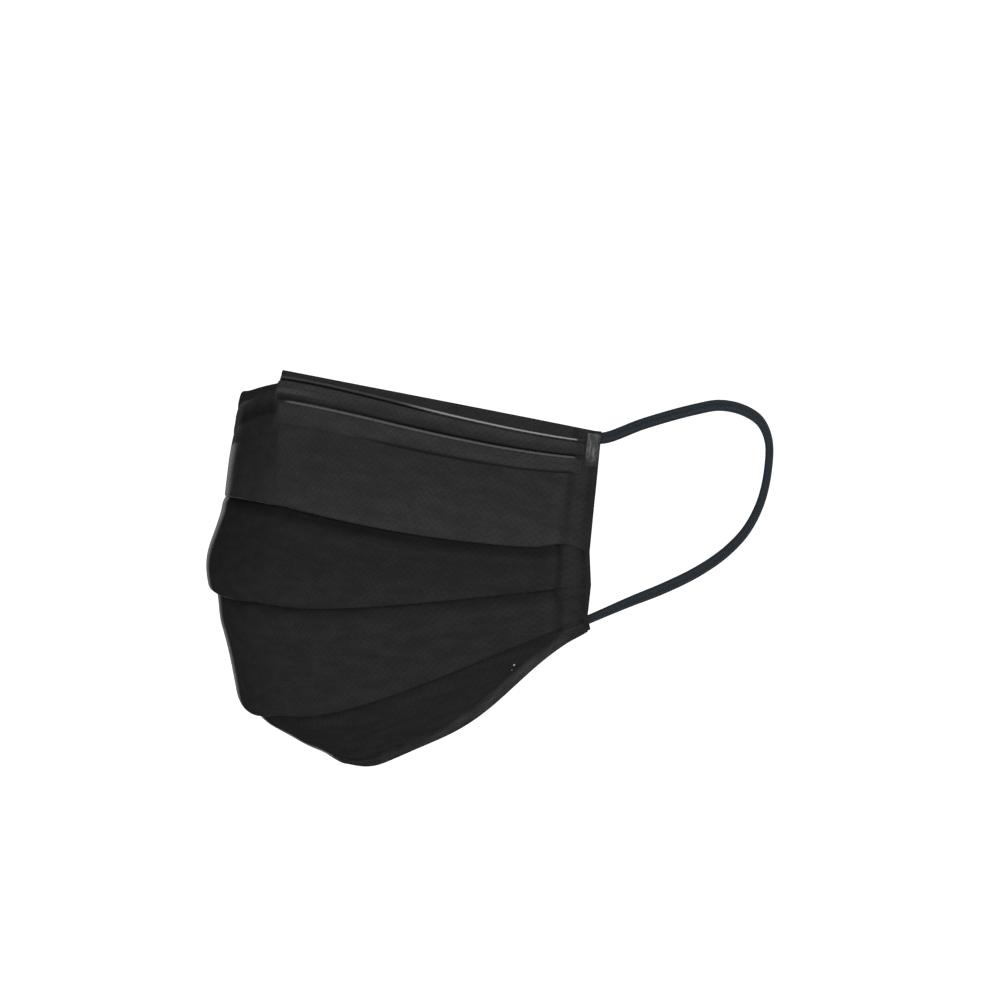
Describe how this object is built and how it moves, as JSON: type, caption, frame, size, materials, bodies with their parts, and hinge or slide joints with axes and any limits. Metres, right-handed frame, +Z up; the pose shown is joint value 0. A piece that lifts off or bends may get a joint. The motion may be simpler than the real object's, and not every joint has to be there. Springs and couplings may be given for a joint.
{
  "type": "surgical mask",
  "caption": "Pleated surgical face mask with a nose band, folded chin hem, turned side margins and flat elastic ear loops, in the form it takes when worn",
  "frame": {"origin": "the crease at the middle of the top edge, where the mask sits on the bridge of the nose", "axes": "+X to the wearer's left, -Y to the front, +Z up"},
  "size_m": [0.1488, 0.1407, 0.1122],
  "materials": {
    "mask_fabric": "black spunbond non-woven with a faint sheen and small bond points",
    "band_fabric": "the same non-woven, pressed smooth over the wire, with a bright welded line",
    "hem_fabric": "the same non-woven, turned over and dot welded",
    "elastic": "flat ribbed elastic, dark grey, slightly lighter along its edges",
    "wire": "dull bare strip, hidden in the band"
  },
  "bodies": {
    "root": {"mask_body": "mask_fabric", "nose_band": "band_fabric", "nose_wire": "wire", "chin_hem": "hem_fabric", "side_hem_left": "hem_fabric", "side_hem_right": "hem_fabric", "ear_loop_left": "elastic", "ear_loop_right": "elastic"}
  },
  "joints": []
}
